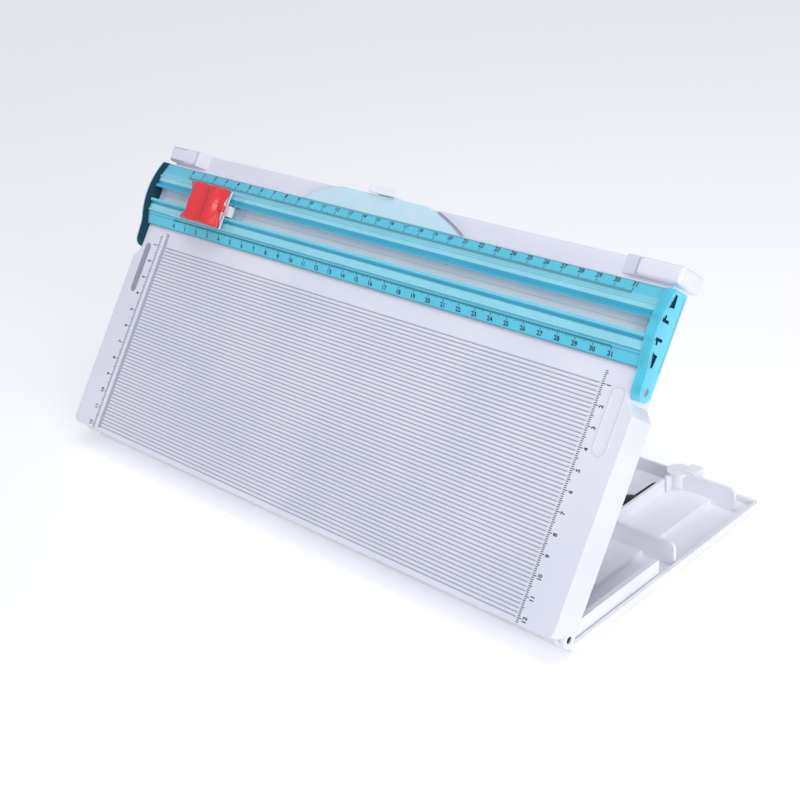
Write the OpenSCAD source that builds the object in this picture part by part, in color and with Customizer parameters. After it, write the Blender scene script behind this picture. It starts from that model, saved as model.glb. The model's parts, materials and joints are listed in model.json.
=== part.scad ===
// Rotary paper trimmer with a scoring deck that folds over a storage tray.
// X runs along the cutting rail, Y from the hinged front edge to the back, Z up.
// The origin is on the table, at the middle of the footprint.
// Deck coordinates are (x, v, h): v is measured up the deck from the rail's front
// edge, h is measured off the deck's top face.

/* [Deck] */
// Width of the deck and of the tray
deck_w = 358; // [340:1:380]
// Length of the deck in front of the cutting rail
deck_front = 123; // [120:1:124]
// Depth of the deck's side walls
deck_depth = 18; // [17:0.5:18]
// Angle of the deck to the tray as it stands propped open
open_angle = 54.3; // [45:0.1:65]
// Spacing of the scoring grooves
groove_pitch = 2; // [2:0.5:4]
// Width of one scoring groove
groove_w = 1; // [0.6:0.1:1.2]

/* [Cutting rail] */
// Width of the rail, from ruler edge to ruler edge
rail_w = 36.8; // [36:0.2:37.2]
// Half the width of the channel that the blade runs in
channel_half = 3.6; // [3.5:0.1:3.8]
// Height of the end caps' arch above the deck
arch_top = 6.2; // [5.8:0.1:6.6]
// Place of the slider along the rail, from the middle
slider_x = -122; // [-150:1:150]

/* [Slider] */
// Length of the slider's thumb cover
cover_l = 31.6; // [31:0.2:32.4]
// Width of the slider's thumb cover
cover_w = 22.4; // [22:0.2:23]
// Diameter of the rotary blade
blade_d = 10; // [9.6:0.1:10.4]
// Travel of the cover when it is pressed
press_travel = 1.9; // [1.7:0.1:1.9]

/* [Tray] */
// Depth of the tray from front wall to back wall
tray_d = 153.8; // [152:0.2:155]
// Height of the tray's rim above the table
rim_h = 5; // [4:0.1:5]
// Height of the tray's inner ribs above the table
rib_h = 14.5; // [12:0.5:15]
// Length of the scoring stylus
stylus_l = 104; // [98:1:106]

/* [Hidden] */
$fn = 64;
half_w = deck_w / 2;
wall = 2;
skin = 2.2;
gap = 0.3;

// hinge between tray and deck
hinge_back = 2.6;       // axis in front of the tray's front wall
hinge_z = 9;
hinge_to_rail = 121.6;  // axis to the rail's front edge, along the deck
hinge_to_deck = 14.3;   // axis to the deck's top face
hinge_pin_r = 1.75;
knuckle_r = 4.3;
ear_r = 4;
ear_in = half_w - 5.6;
ear_out = half_w - 2.6;

// footprint, which centres the model in Y
front_reach = hinge_back + hinge_to_deck * sin(open_angle)
            + (deck_front - hinge_to_rail) * cos(open_angle);
tray_front = (front_reach - tray_d) / 2;
hinge_y = tray_front - hinge_back;

// deck outline
neck_half = half_w - 4.4;   // deck between the rail's end caps
neck_v = -14.5;             // front end of the neck
shoulder_v = -20;
deck_back = 48.6;
flange_v = 38.6;            // front edge of the lowered flange behind the rail
flange_h = -3.5;
lug_in = half_w - 22.5;     // inner end of the raised corner lugs
lug_slope = 10;
lug_front = 40.5;
lug_back = 49.5;
lug_round = 2.2;
corner_r = 4;
rib_depth = 2.5;

// rail
rail_v = 19.3;              // centre line of the rail
cap_in = half_w - 4;
cap_out = half_w + 1;
rail_half = rail_w / 2;
pivot_v = -8;
pivot_h = -3.2;
pivot_r = 1.8;
run_clear = 0.06;
ear_cap_r = 5;
arch_r = 43.7;
recess_deep = 0.8;
lip_r = 113.5;              // arc of the lift lip
lip_centre = -60.7;
lip_back = 48.4;
lip_x = -3;                 // middle of the lift lip and its catch
catch_x = -3.6;

// slider heights, off the deck
rim_low = 6;
rim_top = 7;
spigot_top = 8;
cover_low = 9.2;
cover_crest = 16.2;
cover_valley = 13.6;
cover_end = 10.4;
crest_x = 9.2;
cover_wall = 1.4;
spring_top = 12.6;
blade_h = 6.7;
axle_r = 1;

// tray storage
tray_low = 0.6;
floor_top = 2.1;
plateau_h = 5;
side_wall_x = 135.2;
plate_front_y = 82.8;
plate_back_y = 142.6;
stylus_x = 129;
stylus_r = 4.8;
stylus_back = tray_front + 136;

// side ruler lines that the grooves run between
ruler_left = -159.1;
ruler_right = 158.3;
groove_first = 10;
groove_last = 120;

// stadium marks on the side strips
badge_x = 169.2;
badge_v0 = -37.5;
badge_v1 = -12.5;
badge_raise = 0.3;

module deck() {
    translate([0, hinge_y, hinge_z]) rotate([open_angle, 0, 0])
        translate([0, hinge_to_rail, hinge_to_deck]) children();
}

module slider() {
    deck() translate([slider_x, rail_v, 0]) children();
}

// a cylinder along X between two places
module rod_x(x0, x1, y, z, r) {
    translate([min(x0, x1), y, z]) rotate([0, 90, 0]) cylinder(h = abs(x1 - x0), r = r);
}

// a cylinder along Y between two places
module rod_y(x, y0, y1, z, r) {
    translate([x, y1, z]) rotate([90, 0, 0]) cylinder(h = y1 - y0, r = r);
}

module box(x0, x1, y0, y1, z0, z1) {
    translate([x0, y0, z0]) cube([x1 - x0, y1 - y0, z1 - z0]);
}

module both_sides() {
    children();
    mirror([1, 0, 0]) children();
}

// a plate from x0 to x1, with its outline drawn in Y and Z
module side_plate(x0, x1) {
    translate([x0, 0, 0]) rotate([90, 0, 90]) linear_extrude(x1 - x0) children();
}

module rounded_slab(x0, x1, y0, y1, z0, z1, r) {
    box(x0 + r, x1 - r, y0, y1, z0, z1);
    box(x0, x1, y0 + r, y1 - r, z0, z1);
    for (x = [x0 + r, x1 - r])
        for (y = [y0 + r, y1 - r])
            translate([x, y, z0]) cylinder(h = z1 - z0, r = r);
}

module pill(x, v0, v1, w) {
    translate([x - w / 2, v0]) square([w, v1 - v0]);
    for (v = [v0, v1]) translate([x, v]) circle(d = w);
}

// ---------------------------------------------------------------- tray

module tray_half() {
    // hinge cheek and the side rib behind it
    difference() {
        side_plate(ear_in, ear_out) {
            translate([-hinge_back, hinge_z]) circle(r = ear_r);
            translate([-hinge_back, hinge_z - ear_r]) square([69.5 + hinge_back, 12.5 - hinge_z + ear_r]);
            translate([0.4, tray_low]) square([69.1, 12.5 - tray_low]);
        }
        rod_x(ear_in - 1, ear_out + 1, -hinge_back, hinge_z, hinge_pin_r);
    }
    // raised shelf beside the gutter along the wall
    box(side_wall_x, half_w - 21, wall / 2, plate_back_y, floor_top / 2, plateau_h);
    // cross plates
    rounded_slab_plate(side_wall_x, half_w - 2.6, plate_front_y);
    rounded_slab_plate(side_wall_x + 3, neck_half - 2.6, plate_back_y);
    // long wall beside the stylus, with a slot near its back end
    box(side_wall_x - 0.8, side_wall_x + 0.8, 12, 133, floor_top / 2, 13);
    box(side_wall_x - 0.8, side_wall_x + 0.8, 134.6, plate_back_y, floor_top / 2, 13);
    // post with a flat head, and the lug that ties it to the back wall
    translate([137.5, plate_back_y + 0.9, floor_top / 2]) cylinder(h = rib_h - floor_top / 2, r = 4.1);
    translate([137.5, plate_back_y + 0.9, rib_h - 1.4]) cylinder(h = 1.4, r = 6.2);
    box(140, 147, plate_back_y, tray_d - wall, floor_top / 2, rib_h + 0.5);
}

// a cross plate parallel to the rail, with its outer top corner rounded
module rounded_slab_plate(x0, x1, y) {
    r = 3;
    translate([0, y + 0.9, 0]) rotate([90, 0, 0]) linear_extrude(1.8) {
        translate([x0, floor_top / 2]) square([x1 - x0 - r, rib_h - floor_top / 2]);
        translate([x0, floor_top / 2]) square([x1 - x0, rib_h - r - floor_top / 2]);
        translate([x1 - r, rib_h - r]) circle(r = r);
    }
}

module base_tray() {
    color("white") translate([0, tray_front, 0]) {
        difference() {
            rounded_slab(-half_w, half_w, 0, tray_d, tray_low, rim_h, 2);
            rounded_slab(-half_w + wall, half_w - wall, wall, tray_d - wall, floor_top, rim_h + 1, 1);
        }
        both_sides() tray_half();
        // rib in front of the back wall, and low ribs that stiffen the floor
        box(-side_wall_x, side_wall_x, 149.4, 150.8, floor_top / 2, 9.5);
        for (x = [-60, 0, 60]) box(x - 0.8, x + 0.8, wall, 149.6, floor_top / 2, floor_top + 1.5);
        for (y = [40, 95]) box(-side_wall_x + 14, side_wall_x - 14, y - 0.8, y + 0.8, floor_top / 2, floor_top + 1.5);
    }
}

module rubber_feet() {
    color("dimgray") translate([0, tray_front, 0])
        for (x = [-160, 160])
            for (y = [14, tray_d - 14])
                translate([x, y, 0]) cylinder(h = tray_low, r = 6);
}

module hinge_pin() {
    color("#303236") rod_x(ear_in, half_w - 0.8, hinge_y, hinge_z, hinge_pin_r);
}
module hinge_pin_left() { mirror([1, 0, 0]) hinge_pin(); }
module hinge_pin_right() { hinge_pin(); }

// half outline of the stylus from its small tip (0) to its large tip
function stylus_outline() = [[0, 2], [1, 2], [1.3, 3], [1.5, 18], [2.2, 20], [3.8, 23], [4.6, 26], [stylus_r, 30],
    [4.2, 60], [4, 78], [3.4, 84], [2.2, 90], [1.7, stylus_l - 3], [0, stylus_l - 3]];

module scoring_stylus() {
    color("#202124") translate([stylus_x, stylus_back, floor_top + gap + stylus_r]) rotate([90, 0, 0])
        rotate_extrude() polygon(stylus_outline());
}

// steel balls on short stems, one at each end of the stylus
module stylus_tips() {
    z = floor_top + gap + stylus_r;
    front = stylus_back - stylus_l;
    color("silver") {
        rod_y(stylus_x, stylus_back - 2, stylus_back - 0.9, z, 0.6);
        translate([stylus_x, stylus_back - 1, z]) sphere(r = 1);
        rod_y(stylus_x, front + 1, front + 3, z, 0.9);
        translate([stylus_x, front + 1.5, z]) sphere(r = 1.5);
    }
}

// ---------------------------------------------------------------- deck

// outline of the deck in plan, drawn g inside its outer faces
module deck_plan(g) {
    r = corner_r - g / 2;
    y0 = -deck_front + g;
    side = half_w - g;
    neck = neck_half - g;
    for (x = [-side + r, side - r]) translate([x, y0 + r]) circle(r = r);
    translate([-side + r, y0]) square([2 * (side - r), r]);
    polygon([[-side, y0 + r], [side, y0 + r], [side, shoulder_v - g / 2], [neck, neck_v - g / 2],
             [neck, deck_back - g], [-neck, deck_back - g], [-neck, neck_v - g / 2],
             [-side, shoulder_v - g / 2]]);
}

// raised lug at a back corner, sloping down to the flange at its inner end
module lug_plan() {
    r = lug_round;
    translate([lug_in - lug_slope, lug_front]) square([half_w - r - lug_in + lug_slope, lug_back - lug_front]);
    translate([half_w - r - 1, lug_front + r]) square([r + 1, lug_back - lug_front - 2 * r]);
    for (v = [lug_front + r, lug_back - r]) translate([half_w - r, v]) circle(r = r);
}

module lug_side() {
    r = lug_round;
    translate([lug_front, -deck_depth]) square([lug_back - lug_front, deck_depth - r]);
    translate([lug_front + r, -deck_depth]) square([lug_back - lug_front - 2 * r, deck_depth]);
    for (v = [lug_front + r, lug_back - r]) translate([v, -r]) circle(r = r);
}

module lug_top() {
    r = lug_round;
    polygon([[lug_in - lug_slope, flange_h], [lug_in, 0], [half_w - r, 0], [half_w - r, -r], [half_w, -r],
             [half_w, -deck_depth], [half_w - wall, -deck_depth], [half_w - wall, -skin - 3],
             [lug_in - lug_slope, -skin - 3]]);
    translate([half_w - r, -r]) circle(r = r);
}

module corner_lug() {
    intersection() {
        translate([0, 0, -deck_depth]) linear_extrude(deck_depth) lug_plan();
        side_plate(lug_in - lug_slope, half_w) lug_side();
        union() {
            translate([0, lug_back, 0]) rotate([90, 0, 0]) linear_extrude(lug_back - lug_front) lug_top();
            box(neck_half - wall, half_w, lug_back - wall, lug_back, -deck_depth, -skin);
            box(neck_half - wall, half_w, lug_front, lug_front + 1.6, -deck_depth, -skin);
        }
    }
}

module lip_outline(extra) {
    intersection() {
        translate([lip_x, lip_centre]) circle(r = lip_r + extra, $fn = 180);
        translate([-70, 36.4 - extra]) square([140, lip_back + 2 * extra - 36.4]);
    }
}

module scoring_grooves() {
    side = groove_w / sqrt(2);
    for (v = [groove_first : groove_pitch : groove_last])
        translate([ruler_left, -v, 0]) rotate([45, 0, 0])
            translate([0, -side / 2, -side / 2]) cube([ruler_right - ruler_left, side, side]);
}

module deck_shell() {
    color("#e9e9f2") deck() difference() {
        union() {
            difference() {
                translate([0, 0, -deck_depth]) linear_extrude(deck_depth) deck_plan(0);
                translate([0, 0, -deck_depth - 1]) linear_extrude(deck_depth + 1 - skin)
                    intersection() {
                        deck_plan(wall);
                        translate([-half_w, -deck_front]) square([deck_w, deck_front + flange_v - 2]);
                    }
                // the flange behind the rail is lower than the deck
                box(-half_w - 1, half_w + 1, flange_v, deck_back + 1, flange_h, 1);
                box(-neck_half + wall, neck_half - wall, flange_v - 3, deck_back - wall, -deck_depth - 1,
                    flange_h - 4.6);
            }
            both_sides() corner_lug();
            // stiffening ribs under the deck
            for (x = [-150, -100, -50, 0, 50, 100, 150])
                box(x - 0.8, x + 0.8, -deck_front + 1, flange_v, -skin - rib_depth, -skin / 2);
            for (v = [-92, -61, -30, 1])
                box(-neck_half + 1, neck_half - 1, v - 0.8, v + 0.8, -skin - rib_depth, -skin / 2);
            both_sides() {
                rod_x(half_w - 2.2, half_w, -hinge_to_rail, -hinge_to_deck, knuckle_r);
                rod_x(neck_half - 6, neck_half, pivot_v, pivot_h, 3.2);
            }
            // raised outline on the right strip
            translate([0, 0, -0.5]) linear_extrude(0.5 + badge_raise) difference() {
                pill(badge_x, badge_v0, badge_v1, 7.6);
                pill(badge_x, badge_v0, badge_v1, 6.4);
            }
        }
        both_sides() {
            // hinge bore, and room for the tray's hinge cheek
            rod_x(half_w - 4, half_w + 1, -hinge_to_rail, -hinge_to_deck, hinge_pin_r + run_clear);
            rod_x(ear_in - 0.6, half_w - 2.2, -hinge_to_rail, -hinge_to_deck, ear_r + 0.6);
            rod_x(neck_half - 7, neck_half + 1, pivot_v, pivot_h, pivot_r);
        }
        // recess that holds the cutting strip
        box(-neck_half + 4, neck_half - 4, rail_v - 4.2, rail_v + 4.2, -1.4, 1);
        // recess behind the lift lip, and the slot for the catch's stem
        translate([0, 0, -5.2]) linear_extrude(8) lip_outline(0.8);
        box(catch_x - 5.4, catch_x + 5.4, 40, 52, -12.4, -9.6);
        // scoring grooves, and the shallow trough beside the left ruler
        scoring_grooves();
        box(ruler_left + 0.9, ruler_left + 5.2, -121, -2, -0.5, 1);
        translate([0, 0, -0.4]) linear_extrude(2) pill(-badge_x, badge_v0, badge_v1, 5);
    }
}

module cutting_strip() {
    color("#f4f4f8") deck() difference() {
        box(-neck_half + 4.2, neck_half - 4.2, rail_v - 4, rail_v + 4, -1.4, 0);
        box(-neck_half, neck_half, rail_v - 0.45, rail_v + 0.45, -0.6, 1);
    }
}

module pivot_pin() {
    color("silver") deck() rod_x(neck_half - 6, cap_out - 0.6, pivot_v, pivot_h, pivot_r);
}
module pivot_pin_left() { mirror([1, 0, 0]) pivot_pin(); }
module pivot_pin_right() { pivot_pin(); }

// catch behind the lift lip: a thin rounded thumb tab on a stem that goes down to a slot in the back wall
module rail_catch() {
    r = 1.5;
    reach = 3.8;
    half = 9.3;
    face = deck_back + gap;
    color("white") deck() translate([catch_x, 0, 0]) {
        translate([0, 0, 1.2]) linear_extrude(2.2) intersection() {
            translate([-half, face]) square([2 * half, reach]);
            union() {
                translate([-half, face]) square([2 * half, reach - r]);
                translate([-half + r, face]) square([2 * (half - r), reach]);
                for (x = [-half + r, half - r]) translate([x, face + reach - r]) circle(r = r);
            }
        }
        box(-5, 5, face, face + 1.6, -12, 2);
        box(-5, 5, 44, face + 1, -12, -10);
    }
}

// ---------------------------------------------------------------- rail

// one half of the rail's section: d is measured out from the channel's centre line
module rail_section() {
    polygon([[rail_half, gap], [rail_half, 1.3], [11, 3.9], [10.6, 4.6], [10, 4.6], [9.6, 4], [5.8, 4],
             [5.2, 5.4], [channel_half, 5.4], [channel_half, 2.4], [channel_half + 1, 2.4],
             [channel_half + 1, gap], [6, gap], [6, 2.8], [10.2, 2.8], [rail_half - 1.8, gap]]);
}

module rail_front() {
    color("#4cc4dd", 0.6) deck() translate([0, rail_v, 0]) mirror([0, 1, 0])
        side_plate(-cap_in, cap_in) rail_section();
}

// back half of the rail, with the lift lip that reaches over the flange
module rail_rear() {
    color("#4cc4dd", 0.6) deck() {
        translate([0, rail_v, 0]) side_plate(-cap_in, cap_in) rail_section();
        intersection() {
            translate([0, 0, -10]) linear_extrude(20) lip_outline(0);
            side_plate(-70, 70) polygon([[36.4, gap], [lip_back + 1, gap], [lip_back + 1, 1.7], [36.9, 1.8]]);
        }
    }
}

// outline of an end cap: pivot ear at the front, shallow arch over the rail
module cap_outline() {
    low = pivot_h - ear_cap_r;
    translate([pivot_v, pivot_h]) circle(r = ear_cap_r);
    polygon([[pivot_v, low], [5, low], [5, 3.6], [1, 2.6], [pivot_v, pivot_h + ear_cap_r]]);
    intersection() {
        translate([rail_v, arch_top - arch_r]) circle(r = arch_r, $fn = 180);
        translate([0, low]) square([38.2, 20]);
    }
}

// two shallow recesses that repeat the rail's section: one for a ruler wing, one for an inner lip
module cap_recess() {
    polygon([[17, 0.7], [11.2, 2.7], [10, 2.9], [10.6, 1.6], [11, -1.6], [16.6, -0.9]]);
    polygon([[6.8, 3.3], [5.4, 3.5], [5.2, 4.5], [3.6, 4.5], [3.6, -1.2], [5, -1.2], [5, 1.9], [6.8, 1.8]]);
}

module end_cap() {
    color("#4cc4dd", 0.6) deck() difference() {
        side_plate(cap_in, cap_out) cap_outline();
        rod_x(cap_in - 1, cap_out + 1, pivot_v, pivot_h, pivot_r + run_clear);
        for (m = [0, 1])
            translate([0, rail_v, 0]) mirror([0, m, 0]) side_plate(cap_out - recess_deep, cap_out + 1) cap_recess();
    }
}
module end_cap_left() { mirror([1, 0, 0]) end_cap(); }
module end_cap_right() { end_cap(); }

// ---------------------------------------------------------------- slider

module carriage() {
    color("#f2f2f6") slider() difference() {
        union() {
            box(-14.2, 14.2, -10.9, 10.9, rim_low, rim_top);
            box(-12.5, 12.5, -9.3, 9.3, rim_low, spigot_top);
            for (s = [-1, 1]) {
                // necks and feet that hold the carriage down in the channel
                box(min(s * 8, s * 15), max(s * 8, s * 15), -2.2, 2.2, 1, rim_top);
                box(min(s * 8, s * 15), max(s * 8, s * 15), -4.2, 4.2, 0.8, 2);
                box(min(s * 13.6, s * 17.2), max(s * 13.6, s * 17.2), -3, 3, 3.1, rim_top);
            }
        }
        box(-7.2, 7.2, -3.4, 3.4, 0, spigot_top + 1);
    }
}

// thin clear plate that keeps the paper flat on both sides of the blade
module blade_guard() {
    color("#e8f6fa", 0.5) slider() difference() {
        box(-23.5, 23.5, -3.2, 3.2, 2.2, 2.9);
        for (s = [-1, 1]) box(min(s * 7.9, s * 15.1), max(s * 7.9, s * 15.1), -2.3, 2.3, 2, 4);
        box(-6, 6, -1.4, 1.4, 2, 4);
    }
}

// points of a coil spring standing on z = 0: turns of wire of radius w on a mean radius r
function coil_points(r, w, h, turns, steps, sides) = [
    for (i = [0 : steps]) for (j = [0 : sides - 1])
        let (a = 360 * turns * i / steps, b = 360 * j / sides)
            [(r + w * cos(b)) * cos(a), (r + w * cos(b)) * sin(a), w + (h - 2 * w) * i / steps + w * sin(b)]];

function coil_faces(steps, sides) = concat(
    [[for (j = [0 : sides - 1]) j]],
    [for (i = [0 : steps - 1]) for (j = [0 : sides - 1])
        let (k = (j + 1) % sides, n = i * sides) [n + j, n + sides + j, n + k]],
    [for (i = [0 : steps - 1]) for (j = [0 : sides - 1])
        let (k = (j + 1) % sides, n = i * sides) [n + k, n + sides + j, n + sides + k]],
    [[for (j = [sides - 1 : -1 : 0]) steps * sides + j]]);

// two small coil springs that lift the cover
module press_springs() {
    steps = 80;
    sides = 8;
    color("silver") slider() for (x = [-crest_x, crest_x]) translate([x, 0, spigot_top + 0.05])
        polyhedron(points = coil_points(2, 0.3, spring_top - spigot_top, 5, steps, sides),
                   faces = coil_faces(steps, sides), convexity = 6);
}

// height of the cover's top at a distance x from its middle
function cover_top(x) = abs(x) < crest_x
    ? cover_valley + (cover_crest - cover_valley) * (1 - cos(180 * abs(x) / crest_x)) / 2
    : cover_end + (cover_crest - cover_end) * (1 + cos(180 * (abs(x) - crest_x) / (cover_l / 2 - crest_x))) / 2;

// side view of the cover, inset e on its ends and g on its top
module cover_profile(e, g) {
    reach = cover_l / 2 - e;
    steps = 24;
    top = [for (i = [-steps : steps]) [i * reach / steps, cover_top(i * reach / steps) - g]];
    polygon(concat([[-reach, cover_low]], top, [[reach, cover_low]]));
}

// saddle-shaped cover with hollowed ends
module thumb_cover() {
    color("#e8474d") slider() difference() {
        translate([0, cover_w / 2, 0]) rotate([90, 0, 0]) linear_extrude(cover_w) cover_profile(0, 0);
        translate([0, cover_w / 2 - cover_wall, -0.01]) rotate([90, 0, 0])
            linear_extrude(cover_w - 2 * cover_wall) cover_profile(cover_wall + 1, cover_wall);
        for (s = [-1, 1])
            translate([s * (cover_l / 2 + 39), 0, cover_low - 1]) cylinder(h = 10, r = 40, $fn = 120);
    }
}

module blade_holder() {
    axle_low = blade_h - 1.6;
    top = cover_valley - cover_wall - 0.05;
    color("#d8d8de") slider() difference() {
        for (s = [-1, 1]) {
            box(-3, 3, min(s * 1.2, s * 2.6), max(s * 1.2, s * 2.6), axle_low, top);
            box(-6.4, 6.4, min(s * 1.2, s * 2.6), max(s * 1.2, s * 2.6), 9.6, top);
        }
        rod_y(0, -3, 3, blade_h, axle_r);
    }
}

module blade_axle() {
    color("silver") slider() rod_y(0, -2.6, 2.6, blade_h, axle_r);
}

module rotary_blade() {
    color("#c8ccd0") slider() difference() {
        union() {
            rod_y(0, -0.1, 0.1, blade_h, blade_d / 2);
            rod_y(0, -0.2, 0.2, blade_h, blade_d / 2 - 0.7);
            rod_y(0, -0.9, 0.9, blade_h, 2);
        }
        rod_y(0, -2, 2, blade_h, axle_r + 0.05);
    }
}

base_tray();
rubber_feet();
hinge_pin_left();
hinge_pin_right();
scoring_stylus();
stylus_tips();
deck_shell();
cutting_strip();
pivot_pin_left();
pivot_pin_right();
rail_catch();
rail_front();
rail_rear();
end_cap_left();
end_cap_right();
carriage();
blade_guard();
press_springs();
thumb_cover();
blade_holder();
blade_axle();
rotary_blade();
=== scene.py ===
import json
import math

import bmesh
import bpy
from mathutils import Matrix, Vector


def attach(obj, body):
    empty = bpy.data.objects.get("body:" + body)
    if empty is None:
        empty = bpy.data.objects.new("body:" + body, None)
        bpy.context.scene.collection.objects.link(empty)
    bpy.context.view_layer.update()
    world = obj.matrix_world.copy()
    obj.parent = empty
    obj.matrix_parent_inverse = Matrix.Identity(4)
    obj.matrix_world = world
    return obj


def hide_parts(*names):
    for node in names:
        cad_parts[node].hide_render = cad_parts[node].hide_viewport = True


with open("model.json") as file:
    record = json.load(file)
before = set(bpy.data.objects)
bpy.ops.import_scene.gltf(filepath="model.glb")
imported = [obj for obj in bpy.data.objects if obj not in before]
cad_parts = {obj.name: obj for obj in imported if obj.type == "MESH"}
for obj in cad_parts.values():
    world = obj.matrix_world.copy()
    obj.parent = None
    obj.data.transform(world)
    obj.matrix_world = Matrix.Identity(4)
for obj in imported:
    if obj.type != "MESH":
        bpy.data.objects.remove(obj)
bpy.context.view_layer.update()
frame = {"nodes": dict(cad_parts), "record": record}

MM = 0.001
joints = {joint["name"]: joint for joint in frame["record"]["behaviour"]["joints"]}
nodes = frame["nodes"]

# Deck coordinates: x along the rail, v up the deck from the rail's front edge, h off the deck's top face.
HINGE_TO_RAIL, HINGE_TO_DECK = 121.6, 14.3
HINGE = Vector(joints["deck_fold"]["pos_m"])
UP_DECK = Vector(joints["catch_slide"]["axis"]).normalized()
OFF_DECK = -Vector(joints["thumb_press"]["axis"]).normalized()
ZERO = HINGE + (UP_DECK * HINGE_TO_RAIL + OFF_DECK * HINGE_TO_DECK) * MM
ACROSS = Vector((1, 0, 0))
DECK = Matrix.Translation(ZERO) @ Matrix((ACROSS, UP_DECK, OFF_DECK)).transposed().to_4x4()
RAIL_V, RAIL_HALF = 19.3, 18.4
SLIDER_X = joints["blade_spin"]["pos_m"][0] / MM
SLIDER = DECK @ Matrix.Translation(Vector((SLIDER_X, RAIL_V, 0)) * MM)
RULER_ZERO = -150.75


# ------------------------------------------------------------------ materials

# A Map Range node's inputs 0 to 4 are its value, from low, from high, to low and to high.
SMOOTH = {"interpolation_type": "SMOOTHSTEP"}

# Noise scales are waves per metre, and most of a noise's values lie between NOISE_LOW and NOISE_HIGH.
NOISE_LOW, NOISE_HIGH = 0.3, 0.7
TONE_WAVES, GLOSS_WAVES, SWIRL_WAVES, RIPPLE_WAVES, HAZE_WAVES = 18.0, 240.0, 45.0, 30.0, 300.0


def linear(colour, alpha=1.0):
    """An sRGB hex colour as linear RGBA."""
    parts = [int(colour[i:i + 2], 16) / 255 for i in (1, 3, 5)]
    return [c / 12.92 if c <= 0.04045 else ((c + 0.055) / 1.055) ** 2.4 for c in parts] + [alpha]


def add(tree, kind, inputs=None, **settings):
    """Adds a node with its settings; inputs take numbers, colours or other nodes' sockets."""
    made = tree.nodes.new(kind)
    for name, value in settings.items():
        setattr(made, name, value)
    for name, value in (inputs or {}).items():
        if isinstance(value, bpy.types.NodeSocket):
            tree.links.new(value, made.inputs[name])
        else:
            made.inputs[name].default_value = value
    return made


def blank(name):
    """A new material with an empty tree, its output node and its Object coordinates."""
    made = bpy.data.materials.new(name)
    made.use_nodes = True
    made.node_tree.nodes.clear()
    out = add(made.node_tree, "ShaderNodeOutputMaterial")
    place = add(made.node_tree, "ShaderNodeTexCoord").outputs["Object"]
    return made, made.node_tree, out, place


def along(tree, place, direction, zero):
    """Distance in mm from the point zero along a direction."""
    dot = add(tree, "ShaderNodeVectorMath", {0: place, 1: direction}, operation="DOT_PRODUCT")
    shifted = add(tree, "ShaderNodeMath", {0: dot.outputs["Value"], 1: direction.dot(zero)},
                  operation="SUBTRACT")
    return add(tree, "ShaderNodeMath", {0: shifted.outputs[0], 1: 1 / MM}, operation="MULTIPLY").outputs[0]


def surface_normal(tree, place, grain_mm, strength, edge_mm):
    """Rounded edges, then a moulded grain."""
    rounded = add(tree, "ShaderNodeBevel", {"Radius": edge_mm * MM}, samples=4)
    grain = add(tree, "ShaderNodeTexNoise", {"Vector": place, "Scale": 1 / (grain_mm * MM), "Detail": 3.0,
                "Roughness": 0.55})
    return add(tree, "ShaderNodeBump", {"Height": grain.outputs[0], "Strength": strength,
               "Distance": 0.05 * MM, "Normal": rounded.outputs[0]}).outputs[0]


def moulded(name, colour, shade, roughness, spread, grain_mm, strength, edge_mm, ior):
    """An injection-moulded plastic: slow tone drift, patchy gloss, fine grain and rounded edges."""
    made, tree, out, place = blank(name)
    drift = add(tree, "ShaderNodeTexNoise", {"Vector": place, "Scale": TONE_WAVES,
                "Detail": 2.0}).outputs[0]
    share = add(tree, "ShaderNodeMapRange", {0: drift, 1: NOISE_LOW, 2: NOISE_HIGH}, **SMOOTH).outputs[0]
    tone = add(tree, "ShaderNodeMix", {0: share, 6: linear(colour), 7: linear(shade)}, data_type="RGBA")
    patches = add(tree, "ShaderNodeTexNoise", {"Vector": place, "Scale": GLOSS_WAVES,
                  "Detail": 4.0}).outputs[0]
    gloss = add(tree, "ShaderNodeMapRange", {0: patches, 1: NOISE_LOW, 2: NOISE_HIGH, 3: roughness - spread,
                4: roughness + spread}, **SMOOTH)
    normal = surface_normal(tree, place, grain_mm, strength, edge_mm)
    shader = add(tree, "ShaderNodeBsdfPrincipled", {"Base Color": tone.outputs[2],
                 "Roughness": gloss.outputs[0], "IOR": ior, "Normal": normal})
    tree.links.new(shader.outputs[0], out.inputs[0])
    return made, tree, shader, place


def metal(name, colour, roughness, streak):
    """A ground or honed steel: its streaks run round or along the piece."""
    made, tree, out, place = blank(name)
    stretched = add(tree, "ShaderNodeMapping", {"Vector": place, "Scale": streak}).outputs[0]
    lines = add(tree, "ShaderNodeTexNoise", {"Vector": stretched, "Scale": 1.0, "Detail": 3.0}).outputs[0]
    gloss = add(tree, "ShaderNodeMapRange", {0: lines, 1: NOISE_LOW, 2: NOISE_HIGH, 3: roughness - 0.06,
                4: roughness + 0.08}, **SMOOTH)
    scratches = add(tree, "ShaderNodeBump", {"Height": lines, "Strength": 0.15, "Distance": 0.02 * MM})
    shader = add(tree, "ShaderNodeBsdfPrincipled", {"Base Color": linear(colour), "Metallic": 1.0,
                 "Roughness": gloss.outputs[0], "Normal": scratches.outputs[0]})
    tree.links.new(shader.outputs[0], out.inputs[0])
    return made


# White ABS, injection moulded with a fine matt grain: cool white with a lavender cast and soft highlights.
white_abs, *_ = moulded("white_abs_moulded", "#F7F7FC", "#ECECF3", 0.42, 0.05, 0.35, 0.25, 0.35, 1.54)

# Places in mm. Heights off the deck's top face: where the grooves' painted shade is full and where it starts,
# the sunk mark's face and edge, and where the underside begins. GROOVE_END and MARK_X are distances across the
# deck.
GROOVE_DARK, GROOVE_LIGHT, GROOVE_END = -0.4, -0.02, 157.0
MARK_FACE, MARK_EDGE, MARK_X = -0.32, -0.26, -165.0
UNDER_LOW, UNDER_HIGH = -0.6, -0.5


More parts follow.
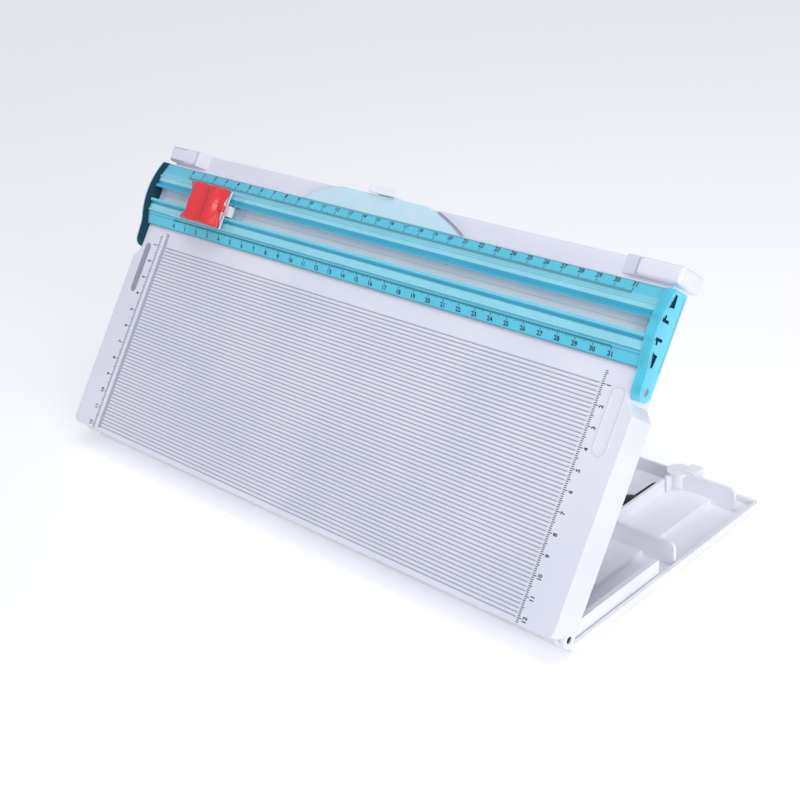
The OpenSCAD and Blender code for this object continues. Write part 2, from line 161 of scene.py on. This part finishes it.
def deck_plastic():
    """The same ABS on the deck, its white a darker copy of the tray's as painted shade. More painted shade
    darkens the scoring grooves towards their bottoms and turns the left mark's sunk face grey."""
    # Painted shade: the deck's white is darker than the tray's.
    made, tree, shader, place = moulded("white_abs_deck", "#E9EAF4", "#E2E4F0",
                                        0.4, 0.05, 0.35, 0.22, 0.3, 1.54)
    x = along(tree, place, ACROSS, ZERO)
    h = along(tree, place, OFF_DECK, ZERO)
    middle = add(tree, "ShaderNodeMath", {0: x}, operation="ABSOLUTE").outputs[0]
    on_top = add(tree, "ShaderNodeMapRange", {0: h, 1: UNDER_LOW, 2: UNDER_HIGH}, **SMOOTH)
    # Painted shade in the scoring grooves, darker towards their bottoms.
    groove_shade = add(tree, "ShaderNodeMapRange", {0: h, 1: GROOVE_DARK, 2: GROOVE_LIGHT, 3: 0.8, 4: 0.0})
    ruled = add(tree, "ShaderNodeMapRange", {0: middle, 1: GROOVE_END, 2: GROOVE_END + 0.4, 3: 1.0, 4: 0.0},
                **SMOOTH)
    # Painted shade on the left mark's sunk face, which is painted grey.
    sunk = add(tree, "ShaderNodeMapRange", {0: h, 1: MARK_FACE, 2: MARK_EDGE, 3: 1.0, 4: 0.0}, **SMOOTH)
    left = add(tree, "ShaderNodeMapRange", {0: x, 1: MARK_X, 2: MARK_X + 0.2, 3: 1.0, 4: 0.0}, **SMOOTH)
    tone = shader.inputs["Base Color"].links[0].from_socket
    # Both colours here are painted shade.
    for zones, dark in (((groove_shade, ruled), "#A6A8BA"), ((sunk, left), "#9C9EAE")):
        share = on_top
        for zone in zones:
            share = add(tree, "ShaderNodeMath", {0: share.outputs[0], 1: zone.outputs[0]},
                        operation="MULTIPLY")
        tone = add(tree, "ShaderNodeMix", {0: share.outputs[0], 6: tone, 7: linear(dark)},
                   data_type="RGBA").outputs[2]
    tree.links.new(tone, shader.inputs["Base Color"])
    return made


deck_abs = deck_plastic()

# The caps: top of the arched edge and its radius, the rim left round the pockets, the pockets' floor and half
# span, and the dark blue painted there as shade. The left cap's inner side gets painted shade from the x given
# next, in a darker blue.
CAP_TOP, CAP_ARCH_R, CAP_RIM = 6.2, 43.7, 0.9
POCKET_X, POCKET_HALF, POCKET_SHADE = 179.2, 17.4, "#123B57"
INSIDE_SHADE_X, INSIDE_SHADE_COLOUR = -179.4, "#0F2E44"

# The rail's colour bands cover this stretch across it, with this much blur as a share of the stretch.
BAND_LOW, BAND_HIGH, BAND_BLUR = -20.0, 32.0, 0.004


def band_colours(tree, d, bands):
    """Two colour ramps across the rail: the tint of one wall, and the body colour with its share as alpha."""
    across = add(tree, "ShaderNodeMapRange", {0: d, 1: BAND_LOW, 2: BAND_HIGH}).outputs[0]
    tints = add(tree, "ShaderNodeValToRGB", {0: across})
    bodies = add(tree, "ShaderNodeValToRGB", {0: across})
    for order, (start, wall_tint, body_colour, share) in enumerate(bands):
        edge = (start - BAND_LOW) / (BAND_HIGH - BAND_LOW)
        for chosen, colour in ((tints, linear(wall_tint)), (bodies, linear(body_colour, share))):
            stops = chosen.color_ramp.elements
            if order == 0:
                stops.remove(stops[-1])
                stops[0].color = colour
            else:
                before = tuple(stops[-1].color)
                stops.new(edge - BAND_BLUR).color = before
                stops.new(edge + BAND_BLUR).color = colour
    return tints, bodies


def pocket_zone(tree, place, d):
    """1 on the floors of the pockets in a cap's outer face, below its arched edge: where painted shade goes.
    """
    x = add(tree, "ShaderNodeMath", {0: along(tree, place, ACROSS, ZERO)}, operation="ABSOLUTE").outputs[0]
    past = add(tree, "ShaderNodeMapRange", {0: x, 1: POCKET_X - 0.2, 2: POCKET_X - 0.1}, **SMOOTH)
    short = add(tree, "ShaderNodeMapRange", {0: x, 1: POCKET_X + 0.6, 2: POCKET_X + 0.7, 3: 1.0, 4: 0.0},
                **SMOOTH)
    squared = add(tree, "ShaderNodeMath", {0: d, 1: d}, operation="MULTIPLY")
    roof = add(tree, "ShaderNodeMath", {0: squared.outputs[0], 1: -1 / (2 * CAP_ARCH_R),
               2: CAP_TOP - CAP_RIM}, operation="MULTIPLY_ADD")
    h = along(tree, place, OFF_DECK, ZERO)
    below = add(tree, "ShaderNodeMath", {0: h, 1: roof.outputs[0]}, operation="LESS_THAN")
    middle = add(tree, "ShaderNodeMath", {0: d}, operation="ABSOLUTE")
    between = add(tree, "ShaderNodeMath", {0: middle.outputs[0], 1: POCKET_HALF}, operation="LESS_THAN")
    zone = past
    for limit in (short, below, between):
        zone = add(tree, "ShaderNodeMath", {0: zone.outputs[0], 1: limit.outputs[0]}, operation="MULTIPLY")
    return zone


def clear_plastic(name, bands, pockets=False, shaded_inside=False):
    """Clear-tinted polystyrene: some light passes through and is tinted at each wall, some comes back as the
    body colour, and the polished skin reflects. bands run from front to rear: (where one starts, in mm from
    the blade's line, tint of one wall, body colour, share of body colour). Pockets and the left cap's inner
    side can get painted shade, matt and dark."""
    made, tree, out, place = blank(name)
    v = along(tree, place, UP_DECK, ZERO)
    d = add(tree, "ShaderNodeMath", {0: v, 1: RAIL_V}, operation="SUBTRACT").outputs[0]
    tints, bodies = band_colours(tree, d, bands)
    swirl = add(tree, "ShaderNodeTexNoise", {"Vector": place, "Scale": SWIRL_WAVES,
                "Detail": 2.0}).outputs[0]
    drift = add(tree, "ShaderNodeMapRange", {0: swirl, 1: NOISE_LOW, 2: NOISE_HIGH, 3: -0.03, 4: 0.03},
                **SMOOTH)
    share = add(tree, "ShaderNodeMath", {0: drift.outputs[0], 1: bodies.outputs["Alpha"]}, operation="ADD")
    rounded = add(tree, "ShaderNodeBevel", {"Radius": 0.25 * MM}, samples=4)
    ripple = add(tree, "ShaderNodeTexNoise", {"Vector": place, "Scale": RIPPLE_WAVES, "Detail": 1.0})
    normal = add(tree, "ShaderNodeBump", {"Height": ripple.outputs[0], "Strength": 0.2,
                 "Distance": 0.3 * MM, "Normal": rounded.outputs[0]}).outputs[0]
    passing = add(tree, "ShaderNodeBsdfTransparent", {"Color": tints.outputs["Color"]})
    solid = add(tree, "ShaderNodeBsdfPrincipled", {"Base Color": bodies.outputs["Color"], "Roughness": 0.12,
                "IOR": 1.59, "Normal": normal})
    both = add(tree, "ShaderNodeMixShader", {0: share.outputs[0], 1: passing.outputs[0],
               2: solid.outputs[0]})
    facing = add(tree, "ShaderNodeLayerWeight", {"Blend": 0.5, "Normal": normal}).outputs["Facing"]
    grazing = add(tree, "ShaderNodeMath", {0: facing, 1: 4.0}, operation="POWER").outputs[0]
    edge = add(tree, "ShaderNodeMapRange", {0: grazing, 1: 0.0, 2: 1.0, 3: 0.045, 4: 0.75})
    gloss = add(tree, "ShaderNodeBsdfGlossy", {"Color": linear("#FFFFFF"), "Roughness": 0.06,
                "Normal": normal})
    skin = add(tree, "ShaderNodeMixShader", {0: edge.outputs[0], 1: both.outputs[0], 2: gloss.outputs[0]})
    zones = []
    if pockets:
        # Painted shade on the pockets' floors.
        zones.append((pocket_zone(tree, place, d), POCKET_SHADE))
    if shaded_inside:
        # Painted shade on the left cap's inner side.
        x = along(tree, place, ACROSS, ZERO)
        inner = add(tree, "ShaderNodeMapRange", {0: x, 1: INSIDE_SHADE_X, 2: INSIDE_SHADE_X + 0.2, 3: 0.0, 4: 0.95},
                    **SMOOTH)
        zones.append((inner, INSIDE_SHADE_COLOUR))
    for zone, dark in zones:
        # The dark colours are painted shade.
        shade_paint = add(tree, "ShaderNodeBsdfPrincipled", {"Base Color": linear(dark), "Roughness": 0.6,
                      "Specular IOR Level": 0.12})
        skin = add(tree, "ShaderNodeMixShader", {0: zone.outputs[0], 1: skin.outputs[0],
                   2: shade_paint.outputs[0]})
    tree.links.new(skin.outputs[0], out.inputs[0])
    return made


# The rail's cross-section in bands: cyan ruler wings, the rear one a touch darker as painted shade; pale
# flats, their paleness partly the clear plastic over the white deck and partly a painted reflection; painted
# shade on the dark edges, along the ridges and at the rear crease; the inner lips, deep and bright, as a
# painted shaded copy and a painted lit copy of the same plastic; and the milky lift lip behind. Each has the
# tint of one wall, its body colour and the share of body colour.
EDGE_SHADE = ("#8FD0DE", "#55A2B8", 0.85)
WING = ("#A4F5FF", "#5CD9F4", 0.9)
REAR_WING = ("#A4F5FF", "#5CCFEA", 0.9)
RIDGE_SHADE = ("#8FD8E6", "#3AA5C2", 0.9)
CREASE_SHADE = ("#C0F0F6", "#84D6EA", 0.9)
FLAT = ("#E0FFFF", "#A0EEFF", 0.85)
# The two lip bands below are the same plastic, once painted shaded and once painted lit.
SHADED_LIP = ("#85E2F4", "#34B2D4", 0.9)
LIT_LIP = ("#B7FCFF", "#78E6FF", 0.85)
MILKY = ("#EFFDFF", "#D4F4FF", 0.82)
RAIL_BANDS = [(-20, *EDGE_SHADE), (-17.9, *WING), (-13.0, *RIDGE_SHADE), (-12.7, *WING), (-11.5, *RIDGE_SHADE), (-11.0, *FLAT),
              (-6.9, *SHADED_LIP), (-4.9, *LIT_LIP), (0, *LIT_LIP), (3.7, *SHADED_LIP), (7.3, *FLAT), (10.3, *CREASE_SHADE),
              (12.8, *REAR_WING), (18.0, *EDGE_SHADE), (18.5, *MILKY)]
CAP_BANDS = [(-20, "#A8F6FF", "#66EAFF", 0.55)]
teal_rail = clear_plastic("teal_polystyrene_clear", RAIL_BANDS)
teal_cap = clear_plastic("teal_polystyrene_cap", CAP_BANDS, pockets=True)

# The left cap's inner side gets painted shade: a dark blue for the darkness seen through the clear cap.
inside_shaded_cap = clear_plastic("teal_cap_painted_shade_inside", CAP_BANDS, pockets=True, shaded_inside=True)

# Coral ABS, polished mould: saturated red-pink with a bright broad highlight.
coral, *_ = moulded("coral_abs_gloss", "#E93C40", "#E2363B", 0.2, 0.04, 0.8, 0.08, 0.4, 1.54)

# Acetal runner plastic: duller and warmer than the ABS.
runner, *_ = moulded("white_acetal", "#EEEEF0", "#E6E7EB", 0.5, 0.05, 0.3, 0.2, 0.2, 1.48)

# Soft PVC strip that takes the blade: matt, slightly grey where it is worn.
strip, *_ = moulded("cutting_strip_pvc", "#F2F3F6", "#E9EBF0", 0.55, 0.05, 0.25, 0.3, 0.15, 1.53)

# Black ABS of the stylus: deep black with a soft sheen.
black, *_ = moulded("black_abs", "#17181B", "#1E1F23", 0.38, 0.06, 0.4, 0.3, 0.3, 1.54)

# Thermoplastic rubber feet: matt dark grey.
rubber, *_ = moulded("grey_rubber", "#3A3B3F", "#333438", 0.8, 0.06, 0.5, 0.6, 0.3, 1.52)

# Ground steel pins and the honed blade.
steel = metal("ground_steel", "#B9BBBF", 0.32, (3000, 200, 200))
dark_steel = metal("blackened_steel", "#3A3B3E", 0.4, (3000, 200, 200))
honed = metal("honed_blade_steel", "#D2D4D8", 0.2, (400, 2500, 400))

# Printing ink: nearly black with a trace of blue, dulled by its pigment.
ink, *_ = moulded("printing_ink_black", "#1B2630", "#243440", 0.5, 0.08, 0.2, 0.2, 0.02, 1.5)


def guard_plastic():
    """Colourless PET of the guard plate under the slider, slightly hazed."""
    made, tree, out, place = blank("clear_pet_plate")
    haze = add(tree, "ShaderNodeTexNoise", {"Vector": place, "Scale": HAZE_WAVES, "Detail": 2.0}).outputs[0]
    share = add(tree, "ShaderNodeMapRange", {0: haze, 1: NOISE_LOW, 2: NOISE_HIGH, 3: 0.16, 4: 0.24},
                **SMOOTH)
    passing = add(tree, "ShaderNodeBsdfTransparent", {"Color": linear("#E8F6FA")})
    solid = add(tree, "ShaderNodeBsdfPrincipled", {"Base Color": linear("#E4F4F8"), "Roughness": 0.1})
    mixed = add(tree, "ShaderNodeMixShader", {0: share.outputs[0], 1: passing.outputs[0],
                2: solid.outputs[0]})
    tree.links.new(mixed.outputs[0], out.inputs[0])
    return made


guard = guard_plastic()


def paint(obj, material):
    """Gives a whole piece one material."""
    obj.data.materials.clear()
    obj.data.materials.append(material)
    for face in obj.data.polygons:
        face.material_index = 0


finishes = {
    "base_tray": white_abs, "rubber_feet": rubber,
    "hinge_pin_left": dark_steel, "hinge_pin_right": dark_steel,
    "scoring_stylus": black, "stylus_tips": steel, "deck_shell": deck_abs, "cutting_strip": strip,
    "pivot_pin_left": steel, "pivot_pin_right": steel, "rail_catch": white_abs, "rail_front": teal_rail,
    "rail_rear": teal_rail, "end_cap_left": inside_shaded_cap, "end_cap_right": teal_cap, "carriage": runner,
    "blade_guard": guard, "press_springs": steel, "thumb_cover": coral, "blade_holder": runner,
    "blade_axle": steel, "rotary_blade": honed,
}
for name, material in finishes.items():
    paint(nodes[name], material)


# ------------------------------------------------------------------ shared steps

def linked(name, data):
    """A new object in the scene."""
    obj = bpy.data.objects.new(name, data)
    bpy.context.collection.objects.link(obj)
    return obj


def evaluated(obj):
    """An object's final shape as a plain mesh."""
    bpy.context.view_layer.update()
    graph = bpy.context.evaluated_depsgraph_get()
    return bpy.data.meshes.new_from_object(obj.evaluated_get(graph))


def as_mesh(name, made):
    """A finished bmesh as a mesh."""
    mesh = bpy.data.meshes.new(name)
    made.to_mesh(mesh)
    made.free()
    return mesh


def block(name, middle, size, place):
    """A box of the given middle and size in mm, laid where place says."""
    made = bmesh.new()
    bmesh.ops.create_cube(made, size=1)
    for vert in made.verts:
        vert.co = (Vector(middle) + vert.co * Vector(size)) * MM
    mesh = as_mesh(name, made)
    mesh.transform(place)
    return mesh


# ------------------------------------------------------------------ printed rulers

def tick_tree():
    """Ruler ticks along +X: a long one at every tenth, a middle one at every fifth. They stand on their base
    line and reach in +Y."""
    tree = bpy.data.node_groups.new("ruler_ticks", "GeometryNodeTree")
    tree.interface.new_socket("Geometry", in_out="OUTPUT", socket_type="NodeSocketGeometry")
    sizes = (("Count", "NodeSocketInt"), ("First", "NodeSocketInt"), ("Pitch", "NodeSocketFloat"),
             ("Width", "NodeSocketFloat"), ("Short", "NodeSocketFloat"), ("Middle", "NodeSocketFloat"),
             ("Long", "NodeSocketFloat"), ("Thickness", "NodeSocketFloat"), ("Ink", "NodeSocketMaterial"))
    for name, kind in sizes:
        tree.interface.new_socket(name, in_out="INPUT", socket_type=kind)
    given = add(tree, "NodeGroupInput").outputs
    step = add(tree, "ShaderNodeCombineXYZ", {"X": given["Pitch"]}).outputs[0]
    line = add(tree, "GeometryNodeMeshLine", {"Count": given["Count"], "Offset": step}).outputs[0]
    index = add(tree, "GeometryNodeInputIndex").outputs[0]
    count = add(tree, "FunctionNodeIntegerMath", {0: index, 1: given["First"]}, operation="ADD").outputs[0]
    reach = given["Short"]
    for every, longer in ((5, given["Middle"]), (10, given["Long"])):
        rest = add(tree, "FunctionNodeIntegerMath", {0: count, 1: every}, operation="MODULO").outputs[0]
        chosen = add(tree, "FunctionNodeCompare", {2: rest, 3: 0}, data_type="INT",
                     operation="EQUAL").outputs[0]
        reach = add(tree, "GeometryNodeSwitch", {0: chosen, 1: reach, 2: longer},
                    input_type="FLOAT").outputs[0]
    cube = add(tree, "GeometryNodeMeshCube").outputs["Mesh"]
    mark = add(tree, "GeometryNodeTransform", {"Geometry": cube, "Translation": (0, 0.5, 0)}).outputs[0]
    size = add(tree, "ShaderNodeCombineXYZ", {"X": given["Width"], "Y": reach,
               "Z": given["Thickness"]}).outputs[0]
    marks = add(tree, "GeometryNodeInstanceOnPoints", {"Points": line, "Instance": mark,
                "Scale": size}).outputs[0]
    solid = add(tree, "GeometryNodeRealizeInstances", {"Geometry": marks}).outputs[0]
    inked = add(tree, "GeometryNodeSetMaterial", {"Geometry": solid, "Material": given["Ink"]}).outputs[0]
    add(tree, "NodeGroupOutput", {"Geometry": inked})
    return tree


TICKS = tick_tree()
INK_T = 0.04


def ticks(place, count, first, width, reaches, mirrored=False):
    """One run of millimetre ticks as a plain mesh, laid where place says. Mirrored, they reach in -Y."""
    holder = linked("ticks", bpy.data.meshes.new("ticks"))
    modifier = holder.modifiers.new("ticks", "NODES")
    modifier.node_group = TICKS
    short, middle, long = reaches
    values = {"Count": count, "First": first, "Pitch": MM, "Width": width * MM, "Short": short * MM,
              "Middle": middle * MM, "Long": long * MM, "Thickness": INK_T * MM, "Ink": ink}
    for item in TICKS.interface.items_tree:
        if item.in_out == "INPUT":
            modifier[item.identifier] = values[item.name]
    made = evaluated(holder)
    bpy.data.objects.remove(holder)
    if mirrored:
        made.transform(Matrix.Scale(-1, 4, (0, 1, 0)))
        made.flip_normals()
    made.transform(place)
    return made


def number(text, size, place):
    """A printed number as a thin mesh, centred on place, with slightly thickened strokes."""
    curve = bpy.data.curves.new("digits", "FONT")
    curve.body, curve.size, curve.align_x, curve.align_y = text, size * MM, "CENTER", "CENTER"
    curve.resolution_u, curve.extrude, curve.offset = 2, INK_T * MM / 2, size * MM * 0.03
    holder = linked("digits", curve)
    made = evaluated(holder)
    bpy.data.objects.remove(holder)
    bpy.data.curves.remove(curve)
    made.transform(place)
    return made


def joined(name, meshes, material, body):
    """Several meshes as one piece that rides on a body."""
    made = bmesh.new()
    for mesh in meshes:
        made.from_mesh(mesh)
    obj = linked(name, as_mesh(name, made))
    paint(obj, material)
    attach(obj, body)
    return obj


def laid(x, v, h, turn=0.0, tilt=0.0):
    """A place on the deck or rail: turned in its plane, then tilted about the rail's direction."""
    return (DECK @ Matrix.Translation(Vector((x, v, h)) * MM) @ Matrix.Rotation(math.radians(tilt), 4, "X")
            @ Matrix.Rotation(math.radians(turn), 4, "Z"))


# The ruler wings slope down to their outer edges, so the print on them is tilted with them.
WING_LOW, WING_HIGH, WING_IN = 1.3, 3.9, 11.0
WING_SLOPE = (WING_HIGH - WING_LOW) / (RAIL_HALF - WING_IN)
WING_TILT = math.degrees(math.atan(WING_SLOPE))
RULER_CM, RAIL_DIGIT_SIZE, SIDE_DIGIT_SIZE, BASE_LINE_W = 31, 3.3, 3.1, 0.16


def on_wing(x, side, d):
    """A place on a wing's top, d from the rail's middle: side is -1 in front and 1 at the rear."""
    height = WING_LOW + (RAIL_HALF - d) * WING_SLOPE + INK_T / 2
    return laid(x, RAIL_V + side * d, height, 0, -side * WING_TILT)


def rail_prints(side, base, digits, width, reaches):
    """One wing's ruler: ticks that reach outwards from their base line, and the numbers further out."""
    prints = [ticks(on_wing(RULER_ZERO, side, base), RULER_CM * 10 + 1, 0, width, reaches, mirrored=side < 0)]
    for cm in range(RULER_CM + 1):
        prints.append(number(str(cm), RAIL_DIGIT_SIZE, on_wing(RULER_ZERO + 10 * cm, side, digits)))
    return prints


FRONT_BASE = 12.4
front = rail_prints(-1, FRONT_BASE, 16.1, 0.34, (1.0, 1.5, 2.3))
front.append(block("base_line", (RULER_CM * 5, 0, 0), (RULER_CM * 10, BASE_LINE_W, INK_T),
                   on_wing(RULER_ZERO, -1, FRONT_BASE)))
joined("rail_ruler_front", front, ink, "rail")
joined("rail_ruler_rear", rail_prints(1, 12.0, 16.7, 0.4, (1.5, 2.0, 3.2)), ink, "rail")

# The deck's side rulers run down from the rail, from 4 mm to 122 mm, and are numbered to 12 cm.
SIDE_LINES = ((-159.4, -1), (158.6, 1))
SIDE_FIRST, SIDE_LAST, SIDE_CM, SIDE_DIGITS = 4, 122, 12, 4.2
side_prints = []
for line, outward in SIDE_LINES:
    side_prints.append(ticks(laid(line, -SIDE_FIRST, INK_T / 2, -90), SIDE_LAST - SIDE_FIRST + 1, SIDE_FIRST,
                             0.4, (1.3, 1.9, 2.3), mirrored=outward < 0))
    for cm in range(1, SIDE_CM + 1):
        spot = laid(line + outward * SIDE_DIGITS, -10 * cm, INK_T / 2, 90)
        side_prints.append(number(str(cm), SIDE_DIGIT_SIZE, spot))
joined("deck_side_rulers", side_prints, ink, "deck")


# ------------------------------------------------------------------ thumb cover

# The cover's half length at its corners, half width, rounded edge, foot and wall, and its ends' hollow.
COVER_HALF, COVER_SIDE, COVER_ROUND = 16.6, 11.15, 1.1
COVER_FOOT, COVER_WALL, END_HOLLOW = 9.25, 1.1, 3.0

# Heights along its middle, the crests' drop and the ends' rise towards its sides, and the crests' places.
VALLEY, CREST, CREST_DROP, END, END_RISE = 12.9, 15.1, 0.5, 10.3, 1.1
CREST_X, CREST_BOW = 6.9, 1.6

# Two fine slits beside the press tab: their distance from the middle, half width, start and depth.
SLIT_Y, SLIT_HALF, SLIT_X, SLIT_DEEP = 2.1, 0.35, 9.2, 0.28


def cover_reach(t):
    """Half length of the cover across its width: the ends are hollowed in the middle."""
    return COVER_HALF - END_HOLLOW * (1 - t * t)


def cover_height(x, t):
    """A saddle: a thumb valley between two crests that bow outwards, and flanks that fall to the ends."""
    crest_x = CREST_X + CREST_BOW * (1 - t * t)
    crest = CREST - CREST_DROP * t * t
    if abs(x) < crest_x:
        return VALLEY + (crest - VALLEY) * (1 - math.cos(math.pi * x / crest_x)) / 2
    end = END + END_RISE * t * t
    fall = min(1.0, (abs(x) - crest_x) / (cover_reach(t) - crest_x))
    height = end + (crest - end) * (1 + math.cos(math.pi * fall)) / 2
    if x <= SLIT_X:
        return height
    return height - SLIT_DEEP * max(0.0, 1 - abs(abs(t * COVER_SIDE) - SLIT_Y) / SLIT_HALF)


def saddle_cover():
    """The cover's skin: a grid on top, a rounded edge, then upright walls, all with a wall's thickness."""
    steps_x, steps_y, turns, edge_drop = 56, 72, 5, 0.8
    made = bmesh.new()
    grid = {}
    for i in range(steps_x + 1):
        for j in range(steps_y + 1):
            s, t = 2 * i / steps_x - 1, 2 * j / steps_y - 1
            x, y = s * (cover_reach(t) - COVER_ROUND), t * (COVER_SIDE - COVER_ROUND)
            grid[i, j] = made.verts.new((x, y, cover_height(x, t)))
    for i in range(steps_x):
        for j in range(steps_y):
            made.faces.new((grid[i, j], grid[i + 1, j], grid[i + 1, j + 1], grid[i, j + 1]))
    rim = ([(i, 0) for i in range(steps_x)] + [(steps_x, j) for j in range(steps_y)]
           + [(i, steps_y) for i in range(steps_x, 0, -1)] + [(0, j) for j in range(steps_y, 0, -1)])
    last = [grid[key] for key in rim]
    outward = []
    for i, j in rim:
        away = Vector(((i == steps_x) - (i == 0), (j == steps_y) - (j == 0), 0)).normalized()
        outward.append(away)
    tops = [vert.co.copy() for vert in last]
    for step in range(1, turns + 2):
        angle = math.radians(90 * min(step, turns) / turns)
        ring = []
        for top, away in zip(tops, outward):
            spot = top + away * COVER_ROUND * math.sin(angle)
            spot.z = COVER_FOOT if step > turns else top.z - COVER_ROUND * (1 - math.cos(angle)) * edge_drop
            ring.append(made.verts.new(spot))
        for n in range(len(ring)):
            made.faces.new((last[n], ring[n], ring[n - 1], last[n - 1]))
        last = ring
    bmesh.ops.recalc_face_normals(made, faces=made.faces)
    mesh = as_mesh("thumb_saddle", made)
    mesh.transform(SLIDER @ Matrix.Scale(MM, 4))
    return mesh


def finished(name, mesh, material, body, slot, *modifiers):
    """A smooth piece with its modifiers applied, riding on a body."""
    obj = linked(name, mesh)
    for kind, settings in modifiers:
        modifier = obj.modifiers.new(kind, kind)
        for key, value in settings.items():
            setattr(modifier, key, value)
    obj.data = evaluated(obj)
    obj.modifiers.clear()
    for face in obj.data.polygons:
        face.use_smooth = True
    paint(obj, material)
    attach(obj, body)
    return obj


cover = finished("thumb_saddle", saddle_cover(), coral, "thumb", "coral_plastic",
                 ("SOLIDIFY", {"thickness": COVER_WALL * MM, "offset": -1.0}))
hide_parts("thumb_cover")

# The press tab at the cover's inner end.
TAB_MIDDLE, TAB_SIZE = (14.9, 0, 10.6), (4.2, 3.8, 1.9)
finished("press_tab", block("press_tab", TAB_MIDDLE, TAB_SIZE, SLIDER), coral, "thumb", "coral_plastic",
         ("BEVEL", {"width": 0.45 * MM, "segments": 3}))


# ------------------------------------------------------------------ floor, light, camera

def studio_paper():
    """Matt white paper that glows slightly, so that it stays pale under soft light."""
    made, tree, out, _ = blank("studio_paper")
    shader = add(tree, "ShaderNodeBsdfPrincipled", {"Base Color": linear("#F8F8FA"), "Roughness": 0.8,
                 "Emission Color": linear("#FFFFFF"), "Emission Strength": 0.2})
    tree.links.new(shader.outputs[0], out.inputs[0])
    return made


FLOOR_HALF = 6
grid = bmesh.new()
bmesh.ops.create_grid(grid, x_segments=1, y_segments=1, size=FLOOR_HALF)
obj = linked("floor", as_mesh("floor", grid))
paint(obj, studio_paper())


def lamp(name, spot, aim, size, power):
    """A round area lamp at spot, turned to aim."""
    light = bpy.data.lights.new(name, "AREA")
    light.shape, light.size, light.energy = "DISK", size, power
    obj = linked(name, light)
    obj.location = spot
    obj.rotation_euler = (Vector(aim) - Vector(spot)).to_track_quat("-Z", "Y").to_euler()


lamp("key", (0.12, 0.0, 0.68), (0, 0, 0.08), 0.5, 1.0)
lamp("side", (1.7, -0.6, 0.55), (0, 0, 0.06), 1.0, 12)
overhead = bpy.data.lights.new("overhead", "SUN")
overhead.energy, overhead.angle = 0.5, math.radians(50)
linked("overhead", overhead).rotation_euler = Vector((0.2, -0.3, 1)).to_track_quat("Z", "Y").to_euler()
world = bpy.data.worlds.new("studio")
world.use_nodes = True
bpy.context.scene.world = world
sky = world.node_tree.nodes["Background"]
sky.inputs["Color"].default_value = linear("#F3F5FF")
sky.inputs["Strength"].default_value = 0.5

# The camera stands at the front right, 26 degrees up, with a small roll.
cam = bpy.data.cameras.new("camera")
cam.sensor_width = 36
cam.lens = 65.635
cam.shift_x, cam.shift_y = -0.0049, -0.0086
cam.clip_start, cam.clip_end = 0.02, 30
eye = linked("camera", cam)
eye.location = (0.5114, -0.48437, 0.39511)
eye.rotation_euler = [math.radians(angle) for angle in (63.7556, 4.3713, 43.5844)]
bpy.context.scene.camera = eye
bpy.context.scene.view_settings.view_transform = "Standard"
